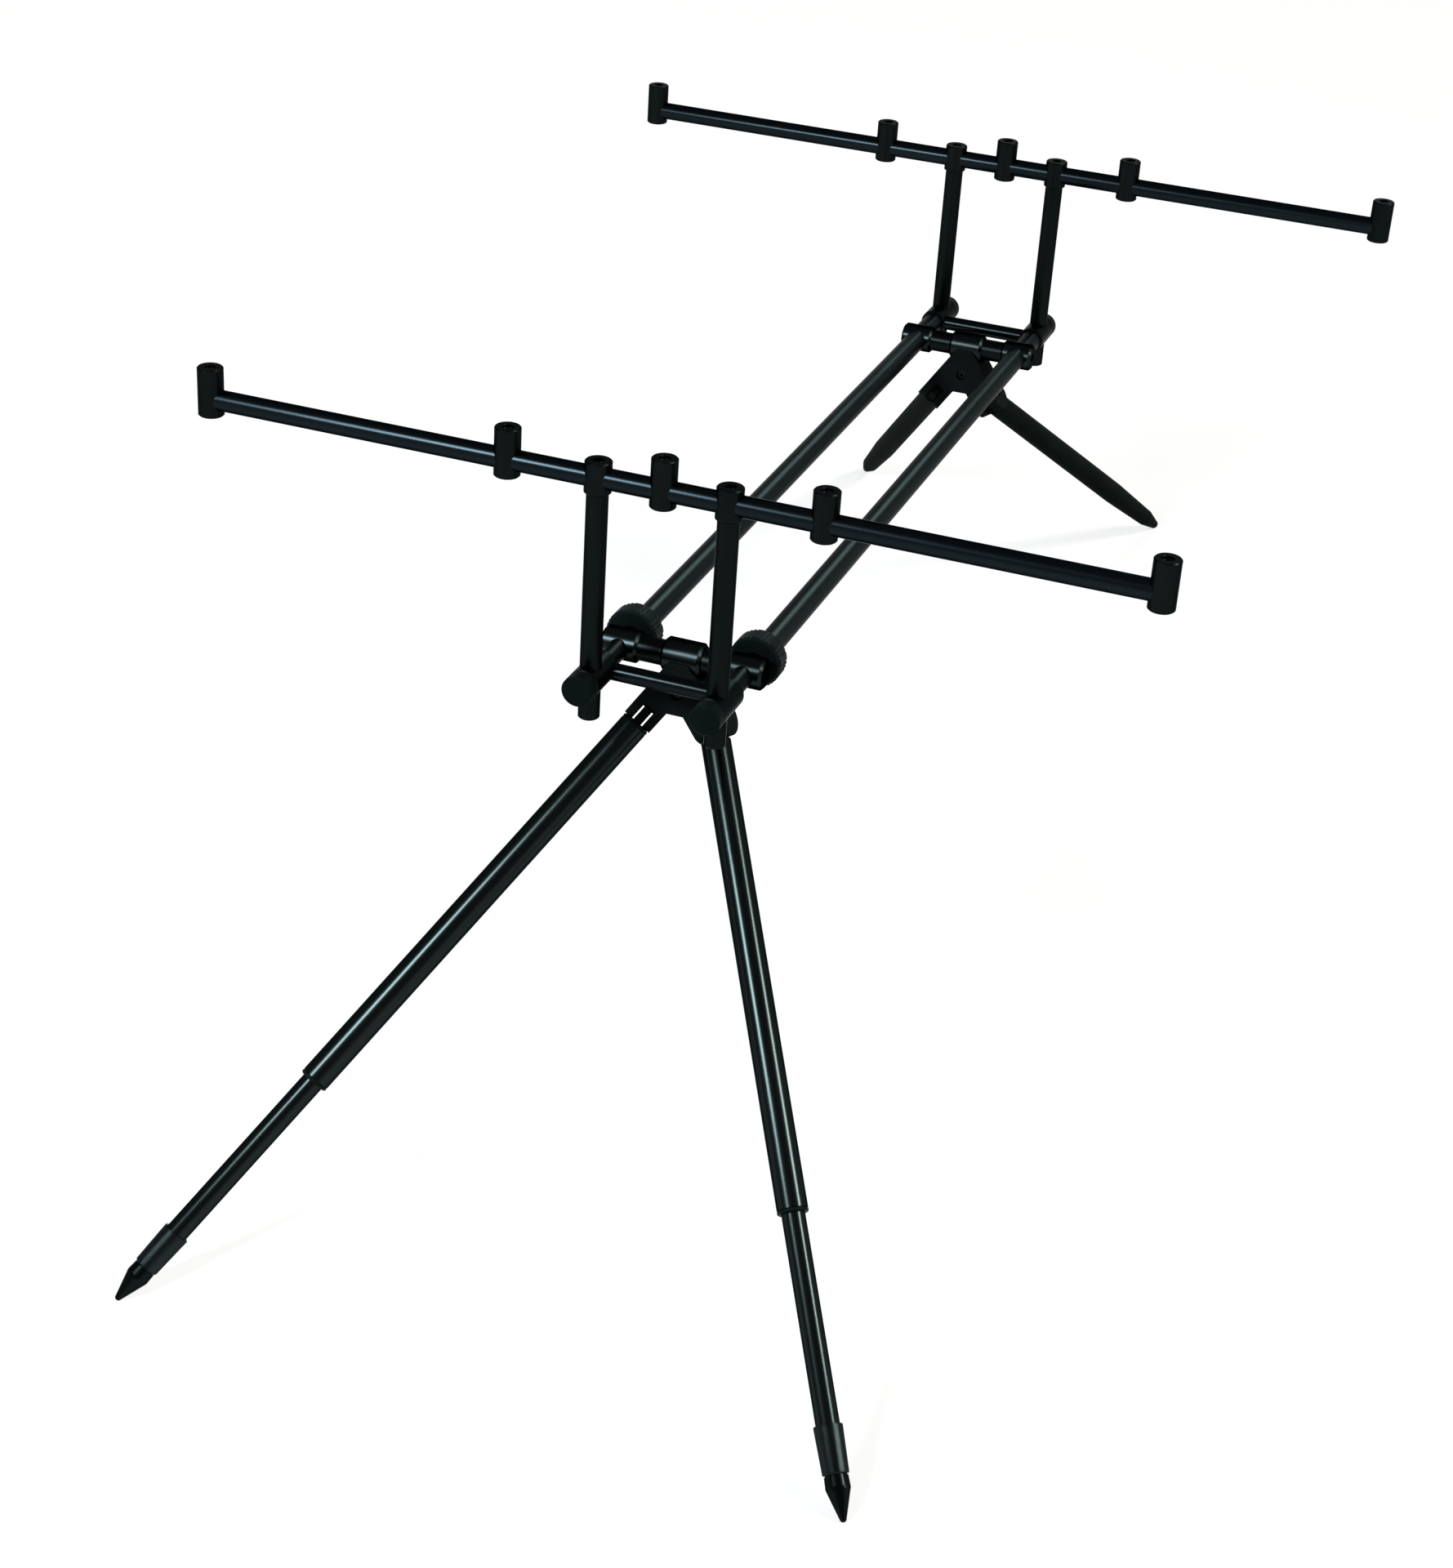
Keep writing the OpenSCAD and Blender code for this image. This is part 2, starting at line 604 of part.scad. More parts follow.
module front_leg_hinge(side) color(turned_black) stand() {
    at_leg(front, side) tongue(front);
    down_leg(front, side) {
        translate([0, 0, shoulder]) turned(leg_d, shoulder_len, small_edge);
        translate([0, 0, shoulder + shoulder_len - cut])
            cylinder(d = leg_bore - 2 * fit_gap, h = plug_len + cut);
    }
}

module front_leg_tube(side) color(anodised) stand() down_leg(front, side)
    translate([0, 0, leg_tube_start]) pipe(leg_d, leg_bore, leg_tube_len);

module front_leg_bush(side) color(matt_black) stand() down_leg(front, side) difference() {
    union() {
        translate([0, 0, lip_start]) turned(leg_d, bush_lip, small_edge);
        translate([0, 0, lip_start - bush_len]) cylinder(d = bush_d, h = bush_len + cut);
    }
    translate([0, 0, lip_start - bush_len - cut])
        cylinder(d = inner_leg_d + 2 * slide_gap, h = bush_len + bush_lip + 2 * cut);
}

module front_leg_inner(side) color(anodised) stand() down_leg(front, side)
    translate([0, 0, inner_leg_start])
        pipe(inner_leg_d, inner_leg_d - 2 * inner_leg_wall, inner_leg_end - inner_leg_start);

module front_leg_expander(side) color(nylon_grey) stand() down_leg(front, side)
    translate([0, 0, inner_leg_start]) {
        translate([0, 0, expander_seat - expander_len])
            turned(leg_bore - 2 * slide_gap, expander_len - expander_seat - fit_gap, turned_edge);
        translate([0, 0, -cut])
            cylinder(d = inner_leg_d - 2 * inner_leg_wall - 2 * fit_gap, h = cut + expander_seat);
    }

module front_foot_sleeve(side) color(matt_black) stand() down_leg(front, side)
    translate([0, 0, foot_start]) difference() {
        cylinder(d1 = foot_top_d, d2 = foot_low_d, h = foot_len);
        translate([0, 0, -cut]) cylinder(d = inner_leg_d + 2 * fit_gap, h = cut + foot_seat + fit_gap);
        translate([0, 0, foot_len - tang_len - rest_gap]) cylinder(d = tang_d + 2 * fit_gap, h = foot_len);
    }

module front_spike(side) color(turned_black) stand() down_leg(front, side) translate([0, 0, spike_start]) {
    translate([0, 0, -tang_len]) cylinder(d = tang_d, h = tang_len + cut);
    cylinder(d = spike_neck_d, h = spike_neck_len + cut);
    translate([0, 0, spike_neck_len])
        cylinder(d1 = foot_low_d, d2 = spike_d, h = spike_round_len - spike_neck_len);
    translate([0, 0, spike_round_len]) point(spike_d, spike_len - spike_round_len, spike_nose_r);
}

module rear_leg(side) color(matt_black) stand() {
    at_leg(rear, side) tongue(rear);
    down_leg(rear, side) {
        taper_start = rear_leg_len - rear_point_len - rear_taper_len;
        translate([0, 0, shoulder]) cylinder(d = rear_leg_d, h = taper_start - shoulder);
        translate([0, 0, taper_start]) cylinder(d1 = rear_leg_d, d2 = rear_point_d, h = rear_taper_len);
        translate([0, 0, rear_leg_len - rear_point_len]) point(rear_point_d, rear_point_len, rear_nose_r);
    }
}

rail_tube(left);  // rail_tube_left
rail_tube(right);  // rail_tube_right
rail_collars();
rail_collets();
inner_rail(left);  // inner_rail_left
inner_rail(right);  // inner_rail_right
locknut(left);  // locknut_left
locknut(right);  // locknut_right
axle_shaft(front);  // front_axle_shaft
axle_bosses(front);  // front_axle_bosses
axle_screws(front);  // front_axle_screws
axle_shaft(rear);  // rear_axle_shaft
axle_bosses(rear);  // rear_axle_bosses
axle_screws(rear);  // rear_axle_screws
bracket(front);  // front_bracket
bracket_screw(front);  // front_bracket_screw
pivot_pins(front);  // front_pivot_pins
bracket(rear);  // rear_bracket
bracket_screw(rear);  // rear_bracket_screw
pivot_pins(rear);  // rear_pivot_pins
head(front, left);  // front_head_left
head(front, right);  // front_head_right
crossbar(front);  // front_crossbar
head(rear, left);  // rear_head_left
head(rear, right);  // rear_head_right
crossbar(rear);  // rear_crossbar
clamp_knob(front, left);  // front_knob_left
clamp_knob(front, right);  // front_knob_right
clamp_knob(rear, left);  // rear_knob_left
clamp_knob(rear, right);  // rear_knob_right
bar_tube(front);  // front_bar_tube
bar_sockets(front);  // front_bar_sockets
upright(front, left);  // front_upright_left
upright(front, right);  // front_upright_right
upright_caps(front);  // front_upright_caps
cap_screws(front);  // front_cap_screws
bar_tube(rear);  // rear_bar_tube
bar_sockets(rear);  // rear_bar_sockets
upright(rear, left);  // rear_upright_left
upright(rear, right);  // rear_upright_right
upright_caps(rear);  // rear_upright_caps
cap_screws(rear);  // rear_cap_screws
front_leg_hinge(left);  // front_leg_hinge_left
front_leg_tube(left);  // front_leg_tube_left
front_leg_bush(left);  // front_leg_bush_left
front_leg_inner(left);  // front_leg_inner_left
front_leg_expander(left);  // front_leg_expander_left
front_foot_sleeve(left);  // front_foot_sleeve_left
front_spike(left);  // front_spike_left
front_leg_hinge(right);  // front_leg_hinge_right
front_leg_tube(right);  // front_leg_tube_right
front_leg_bush(right);  // front_leg_bush_right
front_leg_inner(right);  // front_leg_inner_right
front_leg_expander(right);  // front_leg_expander_right
front_foot_sleeve(right);  // front_foot_sleeve_right
front_spike(right);  // front_spike_right
rear_leg(left);  // rear_leg_left
rear_leg(right);  // rear_leg_right
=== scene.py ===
"""Looks of a rod pod: black anodised tubes, turned fittings, matt castings, threads and knurled feet.

Metres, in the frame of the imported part: x to the right, y from the front bar to the rear bar, z up from
the ground.
"""

import json
import math

import bmesh
import bpy
from mathutils import Matrix, Vector

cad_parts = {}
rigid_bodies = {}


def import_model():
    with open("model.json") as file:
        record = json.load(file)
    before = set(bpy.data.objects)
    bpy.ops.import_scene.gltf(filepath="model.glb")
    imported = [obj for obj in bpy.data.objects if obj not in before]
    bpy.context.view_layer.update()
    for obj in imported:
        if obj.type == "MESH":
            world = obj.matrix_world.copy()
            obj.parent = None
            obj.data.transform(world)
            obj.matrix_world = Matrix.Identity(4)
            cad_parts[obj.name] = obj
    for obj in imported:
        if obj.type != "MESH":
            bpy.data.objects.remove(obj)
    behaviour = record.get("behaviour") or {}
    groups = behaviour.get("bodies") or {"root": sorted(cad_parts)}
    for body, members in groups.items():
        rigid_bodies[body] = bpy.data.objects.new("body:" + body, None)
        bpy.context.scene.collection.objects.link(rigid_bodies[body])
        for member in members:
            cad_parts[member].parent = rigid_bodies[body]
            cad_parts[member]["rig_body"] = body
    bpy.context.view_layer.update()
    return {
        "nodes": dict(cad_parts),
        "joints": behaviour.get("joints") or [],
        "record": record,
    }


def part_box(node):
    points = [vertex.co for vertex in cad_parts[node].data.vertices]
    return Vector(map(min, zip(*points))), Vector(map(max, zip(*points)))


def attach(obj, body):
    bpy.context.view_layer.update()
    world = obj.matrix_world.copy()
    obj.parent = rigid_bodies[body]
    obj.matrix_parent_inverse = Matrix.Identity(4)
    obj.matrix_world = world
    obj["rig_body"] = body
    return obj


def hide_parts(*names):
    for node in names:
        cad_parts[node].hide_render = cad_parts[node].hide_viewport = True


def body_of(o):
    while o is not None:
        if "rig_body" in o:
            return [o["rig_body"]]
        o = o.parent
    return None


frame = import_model()
nodes = frame["nodes"]
joints = {joint["name"]: joint for joint in frame["joints"]}
mounts = frame["record"]["mounts"]

MM = 0.001
ENDS = ("front", "rear")
SIDES = ("left", "right")

# Camera, as the photograph was taken, with angles in degrees
PHOTO_HEIGHT = 1920
FOCAL_PIXELS = 3515.7
SENSOR_LONG_SIDE = 36.0
CAMERA_PLACE = (0.6361, -1.8855, 1.5261)
CAMERA_AZIMUTH = 20.332
CAMERA_ELEVATION = 36.002
CAMERA_ROLL = 0.814

# White floor, and walls whose light by height fades from the horizon at 0 to the ceiling at 1
FLOOR_RADIUS = 40.0
FLOOR_SEGMENTS = 64
FLOOR_GREY = 0.30
FLOOR_GLOW = 0.71
WALL_LEVELS = {0.05: 1.0, 0.18: 0.50, 0.42: 0.25}

# A near softbox and three far soft lamps, with angles in degrees
SOFTBOX_AIM = (0, -0.35, 0.30)
SOFTBOX_AZIMUTH = -36
SOFTBOX_ELEVATION = 46
SOFTBOX_DISTANCE = 1.8
SOFTBOX_WIDTH = 0.50
SOFTBOX_LEVEL = 3.3
SOFTBOX_COLOUR = (0.88, 0.97, 1.0)
FAR_LAMPS = {
    "side_lamp": {"azimuth": 107, "elevation": 41, "width": 12, "level": 2.0, "colour": (1.0, 1.0, 0.90)},
    "low_lamp": {"azimuth": 98, "elevation": 20, "width": 14, "level": 0.8, "colour": (1.0, 1.0, 0.94)},
    "back_lamp": {"azimuth": 178, "elevation": 24, "width": 17, "level": 0.9, "colour": (0.95, 1.0, 1.0)},
}

# Directions and places in the pod, read from its joints
POD_UP = Vector(joints["front_bar_lift"]["axis"])
RAIL_WAY = -Vector(joints["rail_slide"]["axis"])
ACROSS = Vector((1, 0, 0))
FRONT_LEG_WAY = {side: Vector(joints[f"front_leg_{side}_extend"]["axis"]) for side in SIDES}
FRONT_PIVOT = {side: Vector(joints[f"front_leg_{side}_fold"]["pos_m"]) for side in SIDES}

# Screw threads in the sockets of the bars, each flank a share of the pitch
THREAD_PITCH = 1.27 * MM
THREAD_HEIGHT = 0.50 * MM
THREAD_START = 0.9 * MM
THREAD_FLANK = 0.44
THREAD_TURNS = 9
THREAD_STEPS = 28

# Knurl and bores of the foot sleeves
KNURL_ROUND = 56
KNURL_RINGS = 30
KNURL_DEPTH = 0.05 * MM
SLEEVE_RIM = 0.5 * MM
TUBE_BORE = 8.55 * MM
TUBE_SEAT = 10.05 * MM
TANG_BORE = 4.55 * MM
TANG_SEAT = 18.3 * MM
SAME_HEIGHT = 0.01 * MM

# Drawn, turned and cast pieces that a smoothly shaded copy stands for, by the slot of their finish
RAIL_AND_LEG_TUBES = ("rail_tube", "inner_rail", "front_leg_tube", "front_leg_inner")
SMOOTH_PIECES = {
    "anodised_tube": [
        *(f"{end}_{kind}" for end in ENDS for kind in ("bar_tube", "crossbar")),
        *(f"{kind}_{side}" for kind in RAIL_AND_LEG_TUBES for side in SIDES),
        *(f"{end}_upright_{side}" for end in ENDS for side in SIDES),
    ],
    "turned_black": [
        *(f"{end}_{kind}" for end in ENDS for kind in ("axle_bosses", "axle_shaft")),
        *(f"front_spike_{side}" for side in SIDES),
    ],
    "coated_casting": [
        *(f"{end}_bracket" for end in ENDS),
        *(f"{end}_head_{side}" for end in ENDS for side in SIDES),
    ],
}
MERGE_REACH = 0.001 * MM
SHARP_ANGLE = math.radians(30)

# Patterns of the finishes: factors on x, y and z, of which a small one draws the noise out, and its detail
PATTERNS = {
    "drawn_lines": {"factors": (1, 1, 0.012), "detail": 3.0},
    "turned_rings": {"factors": (0.015, 0.015, 1), "detail": 2.0},
    "even_grain": {"factors": (1, 1, 1), "detail": 4.0},
}
MARK_FACTORS = (1, 1, 0.35)
MARK_DETAIL = 5.0
MARK_LOW = 0.38
MARK_HIGH = 0.68
NOISE_ROUGHNESS = 0.6

# Handling marks on each kind of finish: cells per metre, and how far colour and roughness go up and down
TUBE_MARKS = {"cells": 9.0, "colour_share": 0.06, "roughness_step": 0.012}
TURNED_MARKS = {"cells": 40.0, "colour_share": 0.10, "roughness_step": 0.03}
COAT_MARKS = {"cells": 30.0, "colour_share": 0.14, "roughness_step": 0.04}
SCREW_MARK_CELLS = 120.0

# Fine relief of the finishes: cells per metre and depth
DRAWN_CELLS = 2600.0
DRAWN_DEPTH = 0.0002 * MM
UPRIGHT_RING_CELLS = 2200.0
RING_CELLS = 1800.0
RING_DEPTH = 0.0003 * MM
MOULDED_GRAIN = {"grain": 2500.0, "depth": 0.004 * MM}
REAR_LEG_GRAIN = {"grain": 1100.0, "depth": 0.008 * MM}
NYLON_GRAIN = {"grain": 2000.0, "depth": 0.01 * MM}
PLATE_GRAIN = 1500.0
PLATE_GRAIN_DEPTH = 0.002 * MM
SCREW_GRAIN = 3000.0
SCREW_GRAIN_DEPTH = 0.003 * MM

# Share of a bare metal's grazing gloss that a black finish keeps; at the first, tubes look evenly dark
EVEN_RIM = 0.47
DARK_RIM = 0.40
BOSS_RIM = 0.20
SCREW_RIM = 0.10
BARREL_RIM = (0.08, 0.09, 0.09, 1)

# Tint of the sheen on matt black
COOL_SHEEN = (0.55, 0.95, 1.0, 1)

# Colours of the blacks
BAR_BLACK = (0.0094, 0.0136, 0.0166)
CROSSBAR_BLACK = (0.0084, 0.0116, 0.0130)
RAIL_BLACK = (0.0190, 0.0252, 0.0250)
INNER_RAIL_BLACK = (0.0104, 0.0138, 0.0138)
UPRIGHT_BLACK = (0.0060, 0.0082, 0.0084)
SOCKET_BLACK = (0.0066, 0.0088, 0.0090)
BOSS_BLACK = (0.0118, 0.0162, 0.0168)
SHAFT_BLACK = (0.0060, 0.0081, 0.0084)
HEAD_BLACK = (0.0082, 0.0108, 0.0109)
FRONT_LEG_BLACK = (0.0144, 0.0190, 0.0193)
FOOT_BLACK = (0.0072, 0.0098, 0.0100)
SLEEVE_BLACK = (0.0160, 0.0212, 0.0220)
MOULDED_BLACK = (0.0040, 0.0064, 0.0066)
KNOB_BLACK = (0.0040, 0.0064, 0.0065)
REAR_LEG_BLACK = (0.0052, 0.0072, 0.0070)
NYLON_BLACK = (0.0240, 0.0250, 0.0250)
PLATE_DARK = (0.0056, 0.0078, 0.0078)
PLATE_LIGHT = (0.0074, 0.0100, 0.0100)
BARREL_BLACK = (0.0120, 0.0162, 0.0168)
SCREW_DARK = (0.008, 0.009, 0.010)
SCREW_LIGHT = (0.013, 0.014, 0.015)

# The part of a bracket that is bare metal lies within this distance of the axle's axis
BARREL_REACH = 13.3 * MM
BARREL_ROUGHNESS = 0.26
PLATE_ROUGHNESS = 0.60
PLATE_SHEEN = 0.005

# Roughness of the screws, where they are least and most handled
SCREW_SMOOTH = 0.32
SCREW_ROUGH = 0.45

# Sockets of Blender's Mix node when it mixes colours
MIX_FIRST = 6
MIX_SECOND = 7
MIX_RESULT = 2


def heading(azimuth, elevation):
    """The direction from the pod to something seen at that azimuth and elevation, in degrees."""
    a = math.radians(azimuth)
    e = math.radians(elevation)
    return Vector((math.sin(a) * math.cos(e), -math.cos(a) * math.cos(e), math.sin(e)))


def grey(level):
    return (level, level, level, 1)


def mesh_object(name, bm):
    """The bmesh as an object at the origin, with its place in its mesh."""
    mesh = bpy.data.meshes.new(name)
    bm.to_mesh(mesh)
    bm.free()
    piece = bpy.data.objects.new(name, mesh)
    bpy.context.scene.collection.objects.link(piece)
    return piece


# Camera, lamps, walls and floor
def add_camera():
    camera = bpy.data.objects.new("camera", bpy.data.cameras.new("camera"))
    camera.data.sensor_width = SENSOR_LONG_SIDE
    camera.data.lens = FOCAL_PIXELS * SENSOR_LONG_SIDE / PHOTO_HEIGHT
    level = (-heading(CAMERA_AZIMUTH, CAMERA_ELEVATION)).to_track_quat("-Z", "Y").to_matrix()
    turn = level @ Matrix.Rotation(math.radians(CAMERA_ROLL), 3, "Z")
    camera.matrix_world = Matrix.Translation(CAMERA_PLACE) @ turn.to_4x4()
    bpy.context.scene.collection.objects.link(camera)
    bpy.context.scene.camera = camera


def add_softbox():
    """A round softbox that faces its aim, with its power set from its level and its distance."""
    way = heading(SOFTBOX_AZIMUTH, SOFTBOX_ELEVATION)
    lamp = bpy.data.objects.new("softbox", bpy.data.lights.new("softbox", "AREA"))
    lamp.data.shape = "DISK"
    lamp.data.size = SOFTBOX_WIDTH
    lamp.data.energy = SOFTBOX_LEVEL * math.pi * SOFTBOX_DISTANCE ** 2
    lamp.data.color = SOFTBOX_COLOUR
    turn = (-way).to_track_quat("-Z", "Y").to_matrix().to_4x4()
    lamp.matrix_world = Matrix.Translation(Vector(SOFTBOX_AIM) + SOFTBOX_DISTANCE * way) @ turn
    bpy.context.scene.collection.objects.link(lamp)


def add_far_lamp(name, azimuth, elevation, width, level, colour):
    lamp = bpy.data.objects.new(name, bpy.data.lights.new(name, "SUN"))
    lamp.data.energy = level
    lamp.data.angle = math.radians(width)
    lamp.data.color = colour
    lamp.rotation_mode = "QUATERNION"
    lamp.rotation_quaternion = (-heading(azimuth, elevation)).to_track_quat("-Z", "Y")
    bpy.context.scene.collection.objects.link(lamp)


def add_walls():
    world = bpy.data.worlds.new("studio")
    world.use_nodes = True
    bpy.context.scene.world = world
    tree = world.node_tree
    place = tree.nodes.new("ShaderNodeTexCoord")
    height = tree.nodes.new("ShaderNodeSeparateXYZ")
    fade = tree.nodes.new("ShaderNodeValToRGB")
    fade.color_ramp.interpolation = "EASE"
    # A ramp starts with a stop at 0 and one at 1, and the third comes between them
    stops = fade.color_ramp.elements
    stops.new(0.5)
    for stop, (rise, level) in zip(stops, WALL_LEVELS.items()):
        stop.position = rise
        stop.color = grey(level)
    tree.links.new(place.outputs["Generated"], height.inputs["Vector"])
    tree.links.new(height.outputs["Z"], fade.inputs["Fac"])
    tree.links.new(fade.outputs["Color"], tree.nodes["Background"].inputs["Color"])


def floor_paint():
    """Matt paint that keeps shadows, with a glow that only the camera, gloss and glass see."""
    paint = bpy.data.materials.new("floor_white")
    paint.use_nodes = True
    tree = paint.node_tree
    tree.nodes.clear()
    matt = tree.nodes.new("ShaderNodeBsdfDiffuse")
    matt.inputs["Color"].default_value = grey(FLOOR_GREY)
    ray = tree.nodes.new("ShaderNodeLightPath")
    seen = ray.outputs["Is Camera Ray"]
    for kind in ("Is Glossy Ray", "Is Transmission Ray"):
        either = tree.nodes.new("ShaderNodeMath")
        either.operation = "MAXIMUM"
        tree.links.new(seen, either.inputs[0])
        tree.links.new(ray.outputs[kind], either.inputs[1])
        seen = either.outputs["Value"]
    level = tree.nodes.new("ShaderNodeMath")
    level.operation = "MULTIPLY"
    level.inputs[1].default_value = FLOOR_GLOW
    tree.links.new(seen, level.inputs[0])
    glow = tree.nodes.new("ShaderNodeEmission")
    tree.links.new(level.outputs["Value"], glow.inputs["Strength"])
    both = tree.nodes.new("ShaderNodeAddShader")
    tree.links.new(matt.outputs["BSDF"], both.inputs[0])
    tree.links.new(glow.outputs["Emission"], both.inputs[1])
    out = tree.nodes.new("ShaderNodeOutputMaterial")
    tree.links.new(both.outputs["Shader"], out.inputs["Surface"])
    return paint


def add_floor():
    bm = bmesh.new()
    bmesh.ops.create_circle(bm, cap_ends=True, segments=FLOOR_SEGMENTS, radius=FLOOR_RADIUS)
    floor = mesh_object("floor", bm)
    floor.data.materials.append(floor_paint())


# Threads in the sockets
def wind_thread(bm, mount):
    """A thread's ridge on the wall of a socket's hole, wound down from the mouth."""
    wall = mount["dims"]["r_mm"] * MM
    half = THREAD_PITCH * THREAD_FLANK
    top = -THREAD_START
    corners = [(wall, 0, top), (wall - THREAD_HEIGHT, 0, top - half), (wall, 0, top - 2 * half)]
    profile = [bm.verts.new(corner) for corner in corners]
    face = bmesh.ops.contextual_create(bm, geom=profile)["faces"]
    bmesh.ops.spin(
        bm,
        geom=profile + list(face[0].edges) + face,
        cent=(0, 0, 0),
        axis=(0, 0, 1),
        dvec=(0, 0, -THREAD_PITCH / THREAD_STEPS),
        angle=2 * math.pi * THREAD_TURNS,
        steps=THREAD_STEPS * THREAD_TURNS,
    )


def socket_threads(end):
    """The five threads of one bar, each turned and moved to its socket."""
    bm = bmesh.new()
    for mount in mounts:
        if not mount["name"].startswith(end):
            continue
        before = set(bm.verts)
        wind_thread(bm, mount)
        ridge = [v for v in bm.verts if v not in before]
        turn = Vector(mount["axis"]).to_track_quat("Z", "Y").to_matrix().to_4x4()
        bmesh.ops.transform(bm, matrix=Matrix.Translation(mount["pos_m"]) @ turn, verts=ridge)
    bmesh.ops.recalc_face_normals(bm, faces=bm.faces)
    threads = mesh_object(f"{end}_socket_threads", bm)
    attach(threads, f"{end}_bar")
    return threads


# Knurled foot sleeves
def open_loop(bm, height):
    """The open edges of a sleeve at one height."""
    return [e for e in bm.edges if e.is_boundary and abs(e.verts[0].co.z - height) < SAME_HEIGHT]


def draw_in(bm, loop, radius, shift):
    """A new ring of faces from an open loop to the given radius, shifted along z, and its new open loop."""
    made = bmesh.ops.extrude_edge_only(bm, edges=loop)["geom"]
    verts = [g for g in made if isinstance(g, bmesh.types.BMVert)]
    for v in verts:
        v.co.xy = v.co.xy.normalized() * radius
        v.co.z += shift
    return [g for g in made if isinstance(g, bmesh.types.BMEdge) and g.is_boundary]


def sleeve_body(length, top_r, low_r):
    """A tapered sleeve with a diamond knurl, from its top at z = 0 to its length, and a bore in each end."""
    bm = bmesh.new()
    knurled = length - 2 * SLEEVE_RIM
    bmesh.ops.create_cone(
        bm, cap_ends=False, segments=KNURL_ROUND, radius1=top_r, radius2=low_r, depth=knurled
    )
    bmesh.ops.translate(bm, vec=(0, 0, length / 2), verts=bm.verts)
    along = [e for e in bm.edges if not e.is_boundary]
    bmesh.ops.subdivide_edges(bm, edges=along, cuts=KNURL_RINGS - 1, use_grid_fill=True)
    squares = [e for e in bm.edges if not e.is_boundary]
    bmesh.ops.poke(bm, faces=bm.faces)
    bmesh.ops.dissolve_edges(bm, edges=squares, use_verts=False)
    diamonds = [f for f in bm.faces if len(f.verts) == 4]
    bmesh.ops.poke(bm, faces=diamonds, offset=KNURL_DEPTH)
    top = open_loop(bm, SLEEVE_RIM)
    top = draw_in(bm, top, top_r - SLEEVE_RIM, -SLEEVE_RIM)
    top = draw_in(bm, top, TUBE_BORE, 0)
    top = draw_in(bm, top, TUBE_BORE, TUBE_SEAT)
    bmesh.ops.edgeloop_fill(bm, edges=top)
    low = open_loop(bm, length - SLEEVE_RIM)
    low = draw_in(bm, low, low_r - SLEEVE_RIM, SLEEVE_RIM)
    low = draw_in(bm, low, TANG_BORE, 0)
    low = draw_in(bm, low, TANG_BORE, -TANG_SEAT)
    bmesh.ops.edgeloop_fill(bm, edges=low)
    bmesh.ops.recalc_face_normals(bm, faces=bm.faces)
    return bm


def foot_sleeve(side):
    """The knurled sleeve that stands for the plain one, with its length and radii taken from that."""
    node = nodes[f"front_foot_sleeve_{side}"]
    pivot = FRONT_PIVOT[side]
    way = FRONT_LEG_WAY[side]
    reach = [(v.co - pivot).dot(way) for v in node.data.vertices]
    off = [((v.co - pivot) - (v.co - pivot).dot(way) * way).length for v in node.data.vertices]
    start = min(reach)
    length = max(reach) - start
    top_r = max(r for r, z in zip(off, reach) if z - start < length / 2)
    low_r = max(r for r, z in zip(off, reach) if z - start > length / 2)
    bm = sleeve_body(length, top_r - KNURL_DEPTH, low_r - KNURL_DEPTH)
    turn = way.to_track_quat("Z", "Y").to_matrix().to_4x4()
    bmesh.ops.transform(bm, matrix=Matrix.Translation(pivot + start * way) @ turn, verts=bm.verts)
    sleeve = mesh_object(f"knurled_sleeve_{side}", bm)
    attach(sleeve, f"front_leg_slider_{side}")
    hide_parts(f"front_foot_sleeve_{side}")
    return sleeve


# Smooth copies
def smooth_copy(name):
    """A merged copy of a piece, shaded smoothly up to its sharp edges, that stands for it."""
    node = nodes[name]
    bm = bmesh.new()
    bm.from_mesh(node.data)
    bmesh.ops.remove_doubles(bm, verts=bm.verts, dist=MERGE_REACH)
    for face in bm.faces:
        face.smooth = True
    for edge in bm.edges:
        edge.smooth = edge.is_manifold and edge.calc_face_angle() < SHARP_ANGLE
    copy = mesh_object(f"smooth_{name}", bm)
    corner_normals = copy.data.attributes.get("custom_normal")
    if corner_normals:
        copy.data.attributes.remove(corner_normals)
    copy.data.materials.append(node.material_slots[0].material)
    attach(copy, body_of(node)[0])
    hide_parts(name)


# Effects that several finishes share
def effect_group(name, output):
    """A shader group with a Vector and a Scale input and one number output, and its two end nodes."""
    group = bpy.data.node_groups.new(name, "ShaderNodeTree")
    group.interface.new_socket("Vector", in_out="INPUT", socket_type="NodeSocketVector")
    group.interface.new_socket("Scale", in_out="INPUT", socket_type="NodeSocketFloat")
    group.interface.new_socket(output, in_out="OUTPUT", socket_type="NodeSocketFloat")
    return group, group.nodes.new("NodeGroupInput"), group.nodes.new("NodeGroupOutput")


def drawn_noise(group, start, factors, detail):
    """Noise at the group's Scale, read at a place whose x, y and z are multiplied by the factors."""
    squeeze = group.nodes.new("ShaderNodeVectorMath")
    squeeze.operation = "MULTIPLY"
    squeeze.inputs[1].default_value = factors
    group.links.new(start.outputs["Vector"], squeeze.inputs[0])
    noise = group.nodes.new("ShaderNodeTexNoise")
    noise.inputs["Detail"].default_value = detail
    noise.inputs["Roughness"].default_value = NOISE_ROUGHNESS
    group.links.new(squeeze.outputs["Vector"], noise.inputs["Vector"])
    group.links.new(start.outputs["Scale"], noise.inputs["Scale"])
    return noise.outputs["Fac"]


